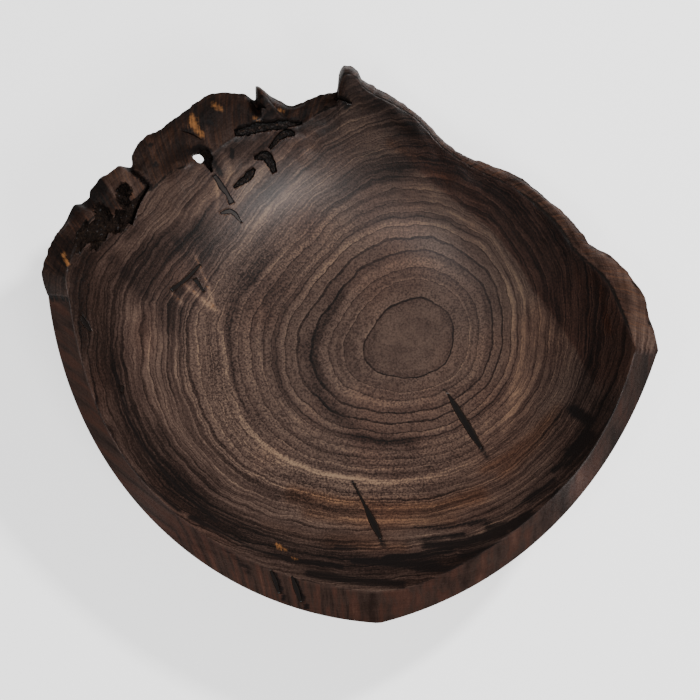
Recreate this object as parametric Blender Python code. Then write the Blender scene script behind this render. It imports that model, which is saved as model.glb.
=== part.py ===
"""A lathe-turned walnut bowl with two sawn rim faces and a natural edge.

The turning axis is Z and the origin is the centre of the foot, which rests on Z = 0.
+X points at the right-hand corner of the rim, -Y at the corner between the two sawn faces.
Radii are measured from the turning axis, and directions are degrees round it from +X.
"""

import math

import bmesh
import bpy
import numpy as np
from mathutils import Vector

MM = 0.001

# The foot and the outside of the turned wall.
FOOT_FACE_RADIUS = 56 * MM
FOOT_RADIUS = 60 * MM
FOOT_HEIGHT = 4 * MM
FOOT_ROUNDING = 1.2 * MM
WALL_REACH = 126 * MM
WALL_RISE = 87 * MM
WALL_CURVE = 1.85

# The inside of the turned wall.
FLOOR_THICKNESS = 13 * MM
INSIDE_REACH = 136 * MM
INSIDE_RISE = 37 * MM
INSIDE_CURVE = 3.5

# The blank before its rim is cut: every ring is pulled from these radii to the true rim.
BLANK_RIM = 170 * MM
BLANK_LIP = 15 * MM
OUTER_RINGS = 8
INNER_RINGS = 12
INNER_RING_CROWDING = 0.8

# Each sawn face is a plane, so on the flaring wall its edge is a conic round the turning axis:
# radius at right angles to the heading, how far the curve is drawn in, and its heading.
LEFT_CUT = (201 * MM, 0.342, 236)
RIGHT_CUT = (218.5 * MM, 0.42, 303.6)

# Where the sawn faces begin and end, and how many steps of the turned mesh each stretch has.
NATURAL_START = -1.5
NATURAL_BUSY = 82
NATURAL_END = 171
FRONT_CORNER = 275.4
STRETCHES = (
    (NATURAL_START, NATURAL_BUSY, 24),
    (NATURAL_BUSY, NATURAL_END, 64),
    (NATURAL_END, FRONT_CORNER, 28),
    (FRONT_CORNER, 360 + NATURAL_START, 22),
)

# The natural edge: direction, radius of the rim and width of the lip, in degrees and millimetres.
NATURAL_EDGE = (
    (-1.5, 176.3, 13.5),
    (9, 172.5, 16),
    (14, 169, 15),
    (20, 162, 14),
    (25, 155, 11),
    (32, 152.5, 9.5),
    (48, 146, 9),
    (60, 140, 6),
    (65, 141, 5.5),
    (73, 149, 5.5),
    (80, 155, 6),
    (84.4, 158.8, 7),
    (87.3, 162, 6.5),
    (88.6, 166, 7),
    (91.2, 168.3, 8),
    (92.3, 165, 8),
    (92.9, 156.5, 9),
    (96.5, 156, 11),
    (103, 153.5, 14),
    (107, 160, 11),
    (109.6, 166.5, 9),
    (110.7, 161, 12),
    (112.5, 165.5, 18),
    (120, 171.5, 28),
    (126, 171, 28),
    (130, 170.5, 25),
    (135, 173, 24),
    (138.6, 171, 22),
    (140.2, 167, 18),
    (142, 172.5, 22),
    (149, 176, 23),
    (150.4, 171, 18),
    (152, 175, 14),
    (153.2, 178, 14),
    (157, 179.7, 14),
    (162, 181.3, 15),
    (167, 181, 15),
    (171, 176, 13),
)

# The width of the lip on the sawn faces: direction and millimetres.
SAWN_LIP = (
    (171, 13),
    (185, 12),
    (203, 10.5),
    (223, 12.5),
    (240, 15),
    (262, 17.5),
    (275.4, 18.5),
    (284, 15),
    (305, 14),
    (322, 12),
    (335, 10.5),
    (345, 11),
    (358.5, 13.5),
)

# What fills the cracks and pockets: name, depth, how far its face lies below the wall, material,
# and the route seen from above with the width at each point, in millimetres.
RESIN = ("dark_resin", (0.02, 0.017, 0.015), 0.25)
BLUE_RESIN = ("blue_grey_resin", (0.07, 0.075, 0.08), 0.3)
BARK = ("bark", (0.055, 0.03, 0.02), 0.75)
FILLS = (
    ("floor_crack_fill_right", 3.5, 0.3, RESIN, ((59, -20, 1), (63, -27, 3.2), (71, -41, 4), (78, -54, 1.2))),
    ("floor_crack_fill_front", 3.5, 0.3, RESIN, ((2, -74, 1), (8, -85, 2.4), (14, -99, 5), (18, -108, 1.6))),
    ("knot_bar_fill", 3, 0.3, RESIN, ((-107, 40, 2.6), (-98, 48, 2), (-90, 57, 1.2))),
    ("knot_leg_fill", 3, 0.3, RESIN, ((-93.5, 48.5, 2.6), (-91, 45, 2), (-88, 41, 1))),
    ("left_wall_slit_fill", 3, 0.5, RESIN, ((-155, 17, 1.2), (-152.5, 12.5, 2.6), (-150, 9, 1.2))),
    ("pin_knot_fill", 2.5, 0.4, RESIN, ((-133, -20, 1.2), (-133.2, -22, 1.8), (-133, -24, 1.2))),
    ("back_check_fill", 3, 0.3, BLUE_RESIN, ((-81, 107, 2), (-77, 102, 3.6), (-73, 97, 2.6), (-71, 93, 4))),
    ("back_check_foot_fill", 3, 0.3, BLUE_RESIN, ((-78, 87, 1), (-72, 88.7, 3), (-65.5, 83, 1))),
    ("rim_check_fill_left", 3, 0.3, RESIN, ((-45.5, -128, 1.2), (-43, -134, 2.4), (-40.5, -141, 1.4))),
    ("rim_check_fill_right", 3, 0.3, RESIN, ((-33.5, -131, 1.2), (-31, -138, 2.8), (-28, -146, 1.4))),
    ("bark_slot_inclusion", 4, 1.6, BARK, ((-68, 130, 4), (-58, 133, 4.5), (-42, 136, 3.6), (-29, 138, 1.6))),
    ("bark_boot_inclusion", 4, 1.2, BARK, ((-34.5, 132, 2.4), (-41, 131, 3.8), (-47, 125, 3))),
    ("bark_toe_inclusion", 4, 1.2, BARK, ((-55.5, 119, 2.6), (-50.5, 119.8, 4.8), (-46.5, 114.5, 4.8))),
    ("bark_spindle_inclusion", 4, 1, BARK, ((-58.5, 111.5, 3), (-62.5, 107, 4.6), (-68.5, 102.5, 1.2))),
)
FILL_STEP = 3.5 * MM
GAP = 0.3 * MM
CUTTER_RISE = 6 * MM

# Open cracks, cut the same way and left empty.
OPEN_CRACKS = (
    ("lobe_slit_cutter", ((-138, 114, 3), (-127, 104, 3.4), (-117, 96, 1.6)), 9),
    ("block_crevice_cutter", ((-120, 93, 2.4), (-126, 85, 6), (-129, 75, 6)), 7),
    ("hole_crevice_cutter", ((-87, 118, 3), (-84.5, 114, 4.4), (-82.5, 110.5, 2)), 6),
)

# Rounded pockets: centre as direction, radius and depth below the wall, then half sizes along
# the rim, across it and down.
POCKETS = (
    ("side_void_cutter", (154.5, 160, 1), (10, 6.5, 9)),
    ("side_void_branch_cutter", (152.2, 154, 1), (6, 5, 7)),
    ("block_socket_cutter", (145.4, 160, 1), (5.5, 5, 8)),
    ("block_gap_cutter", (151.2, 169, 0), (4, 7, 7)),
)
POCKET_ROUGHNESS = 0.16

# The hole right through the wall beside the back check.
HOLE_PLACE = (-90 * MM, 116 * MM)
HOLE_RADIUS = 3.1 * MM
HOLE_LENGTH = 60 * MM
HOLE_LEAN = math.radians(10)
HOLE_SIDES = 12

WALNUT = ("oiled_walnut", (0.085, 0.055, 0.042), 0.42)


def outside_height(radius):
    reach = max(radius - FOOT_RADIUS, 0) / WALL_REACH
    return FOOT_HEIGHT + WALL_RISE * reach**WALL_CURVE


def inside_height(radius):
    return FLOOR_THICKNESS + INSIDE_RISE * (radius / INSIDE_REACH) ** INSIDE_CURVE


def smooth_through(stations, column, place):
    """A smooth value between stations that never swings past them, by monotone Hermite pieces."""
    table = np.array(stations, float)
    places = table[:, 0]
    values = table[:, column]
    gaps = np.diff(places)
    slopes = np.diff(values) / gaps
    turning = slopes[:-1] * slopes[1:] <= 0
    mean = 2 / (1 / np.where(turning, 1, slopes[:-1]) + 1 / np.where(turning, 1, slopes[1:]))
    leaning = np.concatenate([slopes[:1], np.where(turning, 0, mean), slopes[-1:]])
    piece = int(np.clip(np.searchsorted(places, place) - 1, 0, len(gaps) - 1))
    share = (place - places[piece]) / gaps[piece]
    past = 1 - share
    start = values[piece] * (1 + 2 * share) + leaning[piece] * gaps[piece] * share
    end = values[piece + 1] * (3 - 2 * share) - leaning[piece + 1] * gaps[piece] * past
    return start * past**2 + end * share**2


def sawn_radius(cut, direction):
    side_radius, pull, heading = cut
    return side_radius / (1 + pull * math.cos(math.radians(direction - heading)))


def from_natural_start(direction):
    return (direction - NATURAL_START) % 360 + NATURAL_START


def rim_radius(direction):
    direction = from_natural_start(direction)
    if direction < NATURAL_END:
        return smooth_through(NATURAL_EDGE, 1, direction) * MM
    return min(sawn_radius(LEFT_CUT, direction), sawn_radius(RIGHT_CUT, direction))


def lip_width(direction):
    direction = from_natural_start(direction)
    if direction < NATURAL_END:
        return smooth_through(NATURAL_EDGE, 2, direction) * MM
    return smooth_through(SAWN_LIP, 1, direction) * MM


def top_height(x, y):
    """The height of the inside wall, or of the lip that joins it to the outside."""
    radius = math.hypot(x, y)
    direction = math.degrees(math.atan2(y, x))
    rim = rim_radius(direction)
    inner = rim - lip_width(direction)
    if radius <= inner:
        return inside_height(radius)
    share = (radius - inner) / (rim - inner)
    return inside_height(inner) + share * (outside_height(rim) - inside_height(inner))


def top_normal(x, y):
    step = 1 * MM
    slope_x = (top_height(x + step, y) - top_height(x - step, y)) / (2 * step)
    slope_y = (top_height(x, y + step) - top_height(x, y - step)) / (2 * step)
    return Vector((-slope_x, -slope_y, 1)).normalized()


def finish(name, bm, kind=None):
    """Turns a bmesh into a named object, a cutter where it has no material."""
    bm.normal_update()
    bmesh.ops.recalc_face_normals(bm, faces=bm.faces)
    bmesh.ops.triangulate(bm, faces=bm.faces, quad_method="FIXED")
    mesh = bpy.data.meshes.new(name)
    bm.to_mesh(mesh)
    bm.free()
    piece = bpy.data.objects.new(name, mesh)
    bpy.context.scene.collection.objects.link(piece)
    if kind:
        mesh.materials.append(material(*kind))
        mesh.shade_smooth()
        mesh.set_sharp_from_angle(angle=math.radians(35))
    else:
        piece.hide_render = True
        piece.display_type = "WIRE"
    return piece


def material(name, color, roughness):
    if name in bpy.data.materials:
        return bpy.data.materials[name]
    made = bpy.data.materials.new(name)
    made.use_nodes = True
    shader = made.node_tree.nodes["Principled BSDF"]
    shader.inputs["Base Color"].default_value = (*color, 1)
    shader.inputs["Roughness"].default_value = roughness
    shader.inputs["Metallic"].default_value = 0
    return made


def blank_profile():
    """The blank's outline from the middle of the foot, up the outside and back down the inside."""
    points = [
        (0, 0),
        (FOOT_FACE_RADIUS, 0),
        (FOOT_FACE_RADIUS + FOOT_ROUNDING, FOOT_ROUNDING),
        (FOOT_FACE_RADIUS + FOOT_ROUNDING, FOOT_HEIGHT - FOOT_ROUNDING),
    ]
    for radius in np.linspace(FOOT_RADIUS, BLANK_RIM, OUTER_RINGS):
        points.append((radius, outside_height(radius)))
    for share in np.linspace(1, 0, INNER_RINGS):
        radius = (BLANK_RIM - BLANK_LIP) * share**INNER_RING_CROWDING
        points.append((radius, inside_height(radius)))
    return points


def step_directions():
    """The direction of each step of the turned mesh, closest together on the natural edge."""
    found = []
    for start, end, steps in STRETCHES:
        found += list(np.linspace(start, end, steps, endpoint=False))
    return found


def pulled_to_rim(point, direction):
    """A point of the blank, moved along the turned wall so that its ring ends at the true rim."""
    radius = math.hypot(point.x, point.y)
    between = (inside_height(radius) + outside_height(radius)) / 2
    rim = rim_radius(direction)
    height = point.z
    if point.z > between:
        radius *= (rim - lip_width(direction)) / (BLANK_RIM - BLANK_LIP)
        height = inside_height(radius)
    elif radius >= FOOT_RADIUS:
        reach = (rim - FOOT_RADIUS) / (BLANK_RIM - FOOT_RADIUS)
        radius = FOOT_RADIUS + (radius - FOOT_RADIUS) * reach
        height = outside_height(radius)
    turn = math.radians(direction)
    return Vector((radius * math.cos(turn), radius * math.sin(turn), height))


def make_bowl():
    bm = bmesh.new()
    profile = [bm.verts.new((radius, 0, height)) for radius, height in blank_profile()]
    for lower, upper in zip(profile, profile[1:]):
        bm.edges.new((lower, upper))
    directions = step_directions()
    bmesh.ops.spin(
        bm,
        geom=bm.verts[:] + bm.edges[:],
        axis=(0, 0, 1),
        cent=(0, 0, 0),
        angle=math.tau,
        steps=len(directions),
        use_merge=True,
    )
    bmesh.ops.remove_doubles(bm, verts=bm.verts, dist=0.001 * MM)
    for vertex in bm.verts:
        turned = math.atan2(vertex.co.y, vertex.co.x) / math.tau * len(directions)
        vertex.co = pulled_to_rim(vertex.co, directions[round(turned) % len(directions)])
    return finish("bowl_body", bm, WALNUT)


def route_stations(route):
    """Evenly spaced points along a route, each with its side direction and half width."""
    corners = np.array(route, float) * MM
    runs = np.hypot(*np.diff(corners[:, :2], axis=0).T)
    along = np.concatenate([[0], np.cumsum(runs)])
    count = max(int(round(along[-1] / FILL_STEP)), 3)
    places = np.linspace(0, along[-1], count + 1)
    x, y, width = (np.interp(places, along, corners[:, column]) for column in range(3))
    sides = np.stack([-np.gradient(y), np.gradient(x)], axis=1)
    sides /= np.hypot(*sides.T)[:, None]
    return list(zip(np.stack([x, y], axis=1), sides, width / 2))


def make_strip(name, route, top, bottom, margin, kind=None):
    """A closed strip along a route on the wall, from one level to another measured from the wall."""
    stations = route_stations(route)
    last = len(stations) - 1
    normal = top_normal(*stations[last // 2][0])
    bm = bmesh.new()
    bmesh.ops.create_grid(bm, x_segments=last, y_segments=1, size=1)
    for vertex in bm.verts:
        index = round((vertex.co.x + 1) / 2 * last)
        centre, side, half = stations[index]
        x, y = Vector(centre) + Vector(side) * half * vertex.co.y
        sideways = Vector((*side, 0)).cross(normal).cross(normal).normalized() * -vertex.co.y
        onwards = Vector((*side, 0)).cross(normal).normalized() * ((index == last) - (index == 0))
        vertex.co = Vector((x, y, top_height(x, y))) + (sideways + onwards) * margin + normal * top
    for vertex in bmesh.ops.extrude_face_region(bm, geom=bm.faces[:])["geom"]:
        if isinstance(vertex, bmesh.types.BMVert):
            vertex.co += normal * (bottom - top)
    return finish(name, bm, kind)


def make_pocket(name, place, half_sizes):
    """A rounded, slightly uneven pocket, its long side along the rim."""
    direction, radius, depth = place
    turn = math.radians(direction)
    x = radius * MM * math.cos(turn)
    y = radius * MM * math.sin(turn)
    normal = top_normal(x, y)
    along = Vector((-math.sin(turn), math.cos(turn), 0))
    across = normal.cross(along)
    centre = Vector((x, y, top_height(x, y))) - normal * depth * MM
    bm = bmesh.new()
    bmesh.ops.create_icosphere(bm, subdivisions=2, radius=1)
    for vertex in bm.verts:
        ripple = math.sin(5 * vertex.co.x + 2) * math.sin(6 * vertex.co.y) * math.cos(5 * vertex.co.z)
        sizes = Vector(half_sizes) * MM * (1 + POCKET_ROUGHNESS * ripple)
        local = vertex.co * sizes
        vertex.co = centre + along * local.x + across * local.y + normal * local.z
    return finish(name, bm)


def make_hole():
    x, y = HOLE_PLACE
    bm = bmesh.new()
    bmesh.ops.create_cone(
        bm,
        cap_ends=True,
        segments=HOLE_SIDES,
        radius1=HOLE_RADIUS,
        radius2=HOLE_RADIUS,
        depth=HOLE_LENGTH,
    )
    piece = finish("wall_hole_cutter", bm)
    piece.location = (x, y, top_height(x, y))
    piece.rotation_euler.x = HOLE_LEAN
    return piece


def cut(body, cutter):
    modifier = body.modifiers.new(cutter.name, "BOOLEAN")
    modifier.operation = "DIFFERENCE"
    modifier.solver = "EXACT"
    modifier.object = cutter


def main():
    for leftover in list(bpy.data.objects):
        bpy.data.objects.remove(leftover, do_unlink=True)
    body = make_bowl()
    for name, depth, sink, kind, route in FILLS:
        make_strip(name, route, -sink * MM, -depth * MM, 0, kind)
        bottom = -depth * MM - GAP
        cut(body, make_strip(name + "_cutter", route, CUTTER_RISE, bottom, GAP))
    for name, route, depth in OPEN_CRACKS:
        cut(body, make_strip(name, route, CUTTER_RISE, -depth * MM, 0))
    for name, place, half_sizes in POCKETS:
        cut(body, make_pocket(name, place, half_sizes))
    cut(body, make_hole())


main()
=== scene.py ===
# %% [markdown]
# # A turned walnut bowl with a natural edge
# The bowl was turned on a lathe from a thick walnut slab and oiled. Two sides of its rim were sawn flat, and
# the rest is the natural edge of the log, with lobes, horns, cracks and pockets of bark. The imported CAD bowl
# gives the frame: the turning axis is Z, the foot stands on Z = 0, and every new piece is built round it.

import math
from types import SimpleNamespace

import bmesh
import bpy
import numpy as np
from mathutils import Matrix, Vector, noise


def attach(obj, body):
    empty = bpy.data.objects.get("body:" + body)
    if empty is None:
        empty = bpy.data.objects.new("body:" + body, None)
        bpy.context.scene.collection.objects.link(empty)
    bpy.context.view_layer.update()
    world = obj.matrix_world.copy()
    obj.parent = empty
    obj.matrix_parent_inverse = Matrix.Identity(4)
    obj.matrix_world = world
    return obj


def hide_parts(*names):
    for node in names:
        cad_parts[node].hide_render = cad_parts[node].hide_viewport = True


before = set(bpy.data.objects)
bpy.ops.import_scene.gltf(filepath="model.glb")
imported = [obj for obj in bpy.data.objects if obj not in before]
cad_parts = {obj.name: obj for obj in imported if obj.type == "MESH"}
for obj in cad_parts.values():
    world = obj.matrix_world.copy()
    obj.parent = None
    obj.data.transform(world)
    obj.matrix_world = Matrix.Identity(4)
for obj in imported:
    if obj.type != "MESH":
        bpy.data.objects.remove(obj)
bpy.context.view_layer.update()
MM = 0.001

# %% [markdown]
# A turned wall is one curve spun round the axis. Two power curves describe it, one for the outside and one
# for the inside, so the height of the wall is known at any radius. The foot is a short cylinder.

# %% The turned wall
FOOT_FACE_RADIUS = 56 * MM
FOOT_RADIUS = 60 * MM
FOOT_HEIGHT = 4 * MM
FOOT_ROUNDING = 1.2 * MM
WALL_REACH, WALL_RISE, WALL_CURVE = 126 * MM, 87 * MM, 1.85
FLOOR_THICKNESS = 13 * MM
INSIDE_REACH, INSIDE_RISE, INSIDE_CURVE = 136 * MM, 37 * MM, 3.5


def outside_height(radius):
    share = np.maximum(radius - FOOT_RADIUS, 0) / WALL_REACH
    return FOOT_HEIGHT + WALL_RISE * share**WALL_CURVE


def inside_height(radius):
    return FLOOR_THICKNESS + INSIDE_RISE * (radius / INSIDE_REACH) ** INSIDE_CURVE


print("wall at 100 mm:", outside_height(0.1).round(4), inside_height(0.1))

# %% [markdown]
# The rim is the same outline as the CAD bowl's. A sawn face is a plane that cuts the flaring wall, so its
# edge is a conic round the axis. The natural edge goes through listed stations, and a monotone curve
# joins them, because an ordinary spline would swing past the sharp horns.

# %% The outline of the rim
LEFT_CUT = (201 * MM, 0.342, 236)
RIGHT_CUT = (218.5 * MM, 0.42, 303.6)
NATURAL_START, NATURAL_END, FRONT_CORNER = -1.5, 171, 275.4
NATURAL_EDGE = (  # direction in degrees, radius of the rim and width of the lip in mm
    (-1.5, 176.3, 13.5), (9, 172.5, 16), (14, 169, 15), (20, 162, 14), (25, 155, 11), (32, 152.5, 9.5),
    (48, 146, 9), (60, 140, 6), (65, 141, 5.5), (73, 149, 5.5), (80, 155, 6), (84.4, 158.8, 7),
    (87.3, 162, 6.5), (88.6, 166, 7), (91.2, 168.3, 8), (92.3, 165, 8), (92.9, 156.5, 9), (96.5, 156, 11),
    (103, 153.5, 14), (107, 160, 11), (109.6, 166.5, 9), (110.7, 161, 12), (112.5, 165.5, 18),
    (120, 171.5, 28), (126, 171, 28), (130, 170.5, 25), (135, 173, 24), (138.6, 171, 22), (140.2, 167, 18),
    (142, 172.5, 22), (149, 176, 23), (150.4, 174.5, 20), (152, 175.5, 15), (153.2, 178, 14),
    (157, 179.7, 14),
    (162, 181.3, 15), (167, 181, 15), (171, 176, 13),
)
SAWN_LIP = (  # direction and width of the lip
    (171, 13), (185, 12), (203, 10.5), (223, 12.5), (240, 15), (262, 17.5), (275.4, 18.5), (284, 15),
    (305, 14), (322, 12), (335, 10.5), (345, 11), (358.5, 13.5),
)


def smooth_through(stations, column, places):
    """Smooth values between stations that never swing past them, by monotone Hermite pieces."""
    table = np.array(stations, float)
    knots, values = table[:, 0], table[:, column]
    gaps = np.diff(knots)
    slopes = np.diff(values) / gaps
    turning = slopes[:-1] * slopes[1:] <= 0
    mean = 2 / (1 / np.where(turning, 1, slopes[:-1]) + 1 / np.where(turning, 1, slopes[1:]))
    leaning = np.concatenate([slopes[:1], np.where(turning, 0, mean), slopes[-1:]])
    piece = np.clip(np.searchsorted(knots, places) - 1, 0, len(gaps) - 1)
    share = np.clip((places - knots[piece]) / gaps[piece], 0, 1)
    past = 1 - share
    start = values[piece] * (1 + 2 * share) + leaning[piece] * gaps[piece] * share
    end = values[piece + 1] * (3 - 2 * share) - leaning[piece + 1] * gaps[piece] * past
    return start * past**2 + end * share**2


def sawn_radius(cut, direction):
    side_radius, pull, heading = cut
    return side_radius / (1 + pull * np.cos(np.radians(direction - heading)))


def from_natural_start(direction):
    return (direction - NATURAL_START) % 360 + NATURAL_START


def rim_radius(direction):
    direction = from_natural_start(direction)
    sawn = np.minimum(sawn_radius(LEFT_CUT, direction), sawn_radius(RIGHT_CUT, direction))
    return np.where(direction < NATURAL_END, smooth_through(NATURAL_EDGE, 1, direction) * MM, sawn)


def lip_width(direction):
    direction = from_natural_start(direction)
    natural = smooth_through(NATURAL_EDGE, 2, direction)
    return np.where(direction < NATURAL_END, natural, smooth_through(SAWN_LIP, 1, direction)) * MM


corners = np.array([NATURAL_START, NATURAL_END, FRONT_CORNER])
print("rim radius at the corners in mm:", (rim_radius(corners) / MM).round(1))

# %% [markdown]
# The natural edge was only brushed clean, so it rolls and swells. Each swelling or hollow is a smooth hill on
# the wall, with its place, its two half widths, its turn and its height. Fine noise adds the brushed surface.
# Keeping the relief as a height above the turned wall lets the cracks and the bark follow it.

# %% The relief of the natural edge
SWELLINGS = (  # x, y, half widths along and across in mm, turn in degrees, height in mm
    (-112, 107, 11, 6, 48, 1.6),
    (-102, 112, 8, 4.5, 50, -2.6),
    (-91, 122, 8, 3.6, 14, 2.4),
    (-98, 126, 12, 5, 40, 1.2),
    (-73, 142, 18, 7, 24, 1.8),
    (-60, 126, 10, 4, 10, 0.8),
    (-54, 145.5, 4.5, 3, 60, -3.2),
    (-51, 149.5, 3, 4.5, 20, 1.5),
    (-7, 153, 5, 3.5, 60, -3),
    (-1.5, 160, 3, 7, -12, 1.6),
    (6, 151, 9, 4, -30, 1.4),
    (32, 138, 18, 3.5, -38, 1.6),
    (-143, 88, 6, 5, 40, 1.6),
    (-126, 99, 7, 3, 45, 1.2),
    (-148, 78, 4, 6, 60, -2),
    (-166, 48, 8, 7, 70, 0.9),
    (-20, 142, 16, 5, 12, -1.4),
    (-33, 147, 8, 4, -10, 0.9),
    (70, 112, 14, 6, -35, -1),
    (112, 96, 12, 6, -45, 1),
    (148, 66, 12, 6, -50, -0.8),
)
FACETS = (  # a point on the ridge in mm, the heading it falls towards, its slope and how far it reaches
    (-137, 90, 222, 0.55, 10),
    (-124, 104, 130, 0.4, 7),
    (-104, 111, 300, 0.45, 9),
    (-5, 156, 190, 0.9, 7),
    (-51, 147, 175, 0.8, 5),
    (-12, 146, 100, 0.35, 10),
)
ROLL_SIZE, ROLL_HEIGHT = 15 * MM, 0.9 * MM
BRUSHED_SIZE, BRUSHED_HEIGHT = 2.6 * MM, 0.22 * MM
EDGE_REACH = 16 * MM


def rough(x, y, z, size, detail=2):
    """Signed noise at each place, about one unit high, with swells of the given size."""
    places = np.stack(np.broadcast_arrays(x, y, z), axis=-1) / size
    flat = [noise.fractal(Vector(place), 0.7, 2.1, detail) for place in places.reshape(-1, 3)]
    return np.array(flat).reshape(places.shape[:-1])


def hill(x, y, place_x, place_y, along, across, turn):
    """A smooth hill of height 1 round a place in millimetres."""
    turn = math.radians(turn)
    east, north = x - place_x * MM, y - place_y * MM
    far = (east * math.cos(turn) + north * math.sin(turn)) / (along * MM)
    wide = (north * math.cos(turn) - east * math.sin(turn)) / (across * MM)
    return np.exp(-(far**2) - wide**2)


def natural_share(x, y):
    """1 beside the natural edge and 0 away from it, on the floor and at the sawn faces."""
    direction = from_natural_start(np.degrees(np.arctan2(y, x)))
    ends = np.clip((direction - NATURAL_START) / 6, 0, 1) * np.clip((NATURAL_END - direction) / 5, 0, 1)
    inner = rim_radius(direction) - lip_width(direction)
    return ends * np.exp(-((np.maximum(inner - np.hypot(x, y), 0) / EDGE_REACH) ** 2))


def relief(x, y):
    """How far the natural edge stands above the turned wall."""
    share = natural_share(x, y)
    near = share > 0.01
    swell = sum(hill(x, y, *place) * height for *place, height in SWELLINGS) * MM
    for ridge_x, ridge_y, heading, slope, reach in FACETS:
        turn = math.radians(heading)
        past = (x - ridge_x * MM) * math.cos(turn) + (y - ridge_y * MM) * math.sin(turn)
        near_ridge = hill(x, y, ridge_x, ridge_y, reach, reach, 0)
        swell = swell - np.maximum(past, 0) * slope * near_ridge
    found = np.zeros(np.shape(x))
    found[near] = rough(x[near], y[near], 0, ROLL_SIZE) * ROLL_HEIGHT
    found[near] += rough(x[near], y[near], 1, BRUSHED_SIZE, 3) * BRUSHED_HEIGHT
    return (found + swell) * share


def turned_top(x, y):
    """The height of the inside wall, or of the lip that joins it to the outside."""
    radius = np.hypot(x, y)
    direction = np.degrees(np.arctan2(y, x))
    rim = rim_radius(direction)
    inner = rim - lip_width(direction)
    share = np.clip((radius - inner) / (rim - inner), 0, 1)
    lip = inside_height(inner) + share * (outside_height(rim) - inside_height(inner))
    return np.where(radius < inner, inside_height(radius), lip)


def top_height(x, y):
    return turned_top(x, y) + relief(x, y)


print("relief on the bump over the hole in mm:", relief(np.array([-0.091]), np.array([0.122])) / MM)

# %% [markdown]
# The body starts as a flat disc: one straight row of points spun round the axis. Each ring of the disc then
# becomes one ring of the bowl, from the middle of the foot, up the outside, over the lip and down the inside.
# The steps are closest together on the busy part of the natural edge, where the horns and lobes are.

# %% Rings and steps of the body
BUSY_START = 82
STRETCHES = (  # first and last direction in degrees, and steps between them
    (NATURAL_START, BUSY_START, 126),
    (BUSY_START, NATURAL_END, 318),
    (NATURAL_END, FRONT_CORNER, 98),
    (FRONT_CORNER, NATURAL_START + 360, 82),
)
FOOT_RINGS, OUTER_RINGS, ROUND_RINGS, LIP_RINGS, INNER_RINGS = 6, 20, 5, 13, 88
INNER_CROWDING = 1.3
EDGE_ROUNDING = (  # direction, rounding of the inner edge, of the outer edge, and crown of the lip in mm
    (-1.5, 0.5, 0.5, 0), (8, 3, 2, 0.8), (30, 3, 2, 1.4), (60, 2, 1.6, 0.6), (80, 2, 1.6, 0.8),
    (95, 2.4, 1.6, 1.2), (112, 3, 2.4, 1.6), (135, 3.5, 2.4, 2.2), (150, 2.6, 1.6, 1.4), (160, 1.2, 1, 0.3),
    (NATURAL_END, 0.5, 0.5, 0), (NATURAL_START + 360, 0.5, 0.5, 0),
)
RAGGED_SIZE, RAGGED_HEIGHT = 3.5 * MM, 0.35 * MM


def step_directions():
    return np.concatenate([np.linspace(start, end, steps, endpoint=False) for start, end, steps in STRETCHES])


def rounded(before, corner, after):
    """Points of an arc-like curve that rounds a corner, its two ends left out."""
    shares = np.linspace(0, 1, ROUND_RINGS + 2)[1:-1]
    return [before * (1 - s) ** 2 + corner * 2 * s * (1 - s) + after * s**2 for s in shares]


def body_rings(directions):
    """The radius and height of every ring at every step, from the foot's middle to the floor's middle."""
    steps = len(directions)
    turn = np.radians(directions)
    rim = rim_radius(directions)
    edge = rough(rim * np.cos(turn), rim * np.sin(turn), 0, RAGGED_SIZE) * RAGGED_HEIGHT
    rim = rim + edge * natural_share(rim * np.cos(turn), rim * np.sin(turn))
    inner = rim - lip_width(directions)
    inner_round, outer_round, crown = (
        smooth_through(EDGE_ROUNDING, column, from_natural_start(directions)) * MM for column in (1, 2, 3)
    )

    def on_outside(radius):
        return np.stack([radius, outside_height(radius)], axis=1)

    def on_inside(radius):
        return np.stack([radius, inside_height(radius)], axis=1)

    foot = [(0, 0), (28 * MM, 0), (FOOT_FACE_RADIUS, 0)]
    side = FOOT_FACE_RADIUS + FOOT_ROUNDING
    foot += [(side - 0.35 * MM, 0.35 * MM), (side, FOOT_ROUNDING), (side, FOOT_HEIGHT - FOOT_ROUNDING)]
    rings = [np.tile(point, (steps, 1)) for point in foot]
    start = rim - outer_round * 0.7
    rings += [on_outside(FOOT_RADIUS + (start - FOOT_RADIUS) * s) for s in np.linspace(0, 1, OUTER_RINGS)]
    outer_edge, inner_edge = on_outside(rim), on_inside(inner)
    over = inner_edge - outer_edge
    over = over / np.linalg.norm(over, axis=1)[:, None]
    lip_start = outer_edge + over * outer_round[:, None]
    lip_end = inner_edge - over * inner_round[:, None]
    rings += rounded(rings[-1], outer_edge, lip_start)
    for share in np.linspace(0, 1, LIP_RINGS):
        rise = np.array([0, 4 * share * (1 - share)]) * crown[:, None]
        rings.append(lip_start * (1 - share) + lip_end * share + rise)
    start = inner - inner_round * 0.7
    rings += rounded(rings[-1], inner_edge, on_inside(start))
    rings += [on_inside(start * (1 - s**INNER_CROWDING)) for s in np.linspace(0, 1, INNER_RINGS)]
    return np.stack(rings)


directions = step_directions()
rings = body_rings(directions)
first_lip_ring = FOOT_RINGS + OUTER_RINGS + ROUND_RINGS
print("rings and steps:", rings.shape[:2])

# %% [markdown]
# The relief is added to the top side only, and the outside of the natural edge gets its own low swells, the
# way a log's surface has them under the bark. The spin leaves two points on the same spot at the middle of
# the foot and of the floor, so doubles are merged before the faces are pointed outwards.

# %% Spin the body
OUTSIDE_SWELL, OUTSIDE_REACH = 1.1 * MM, 26 * MM


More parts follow.
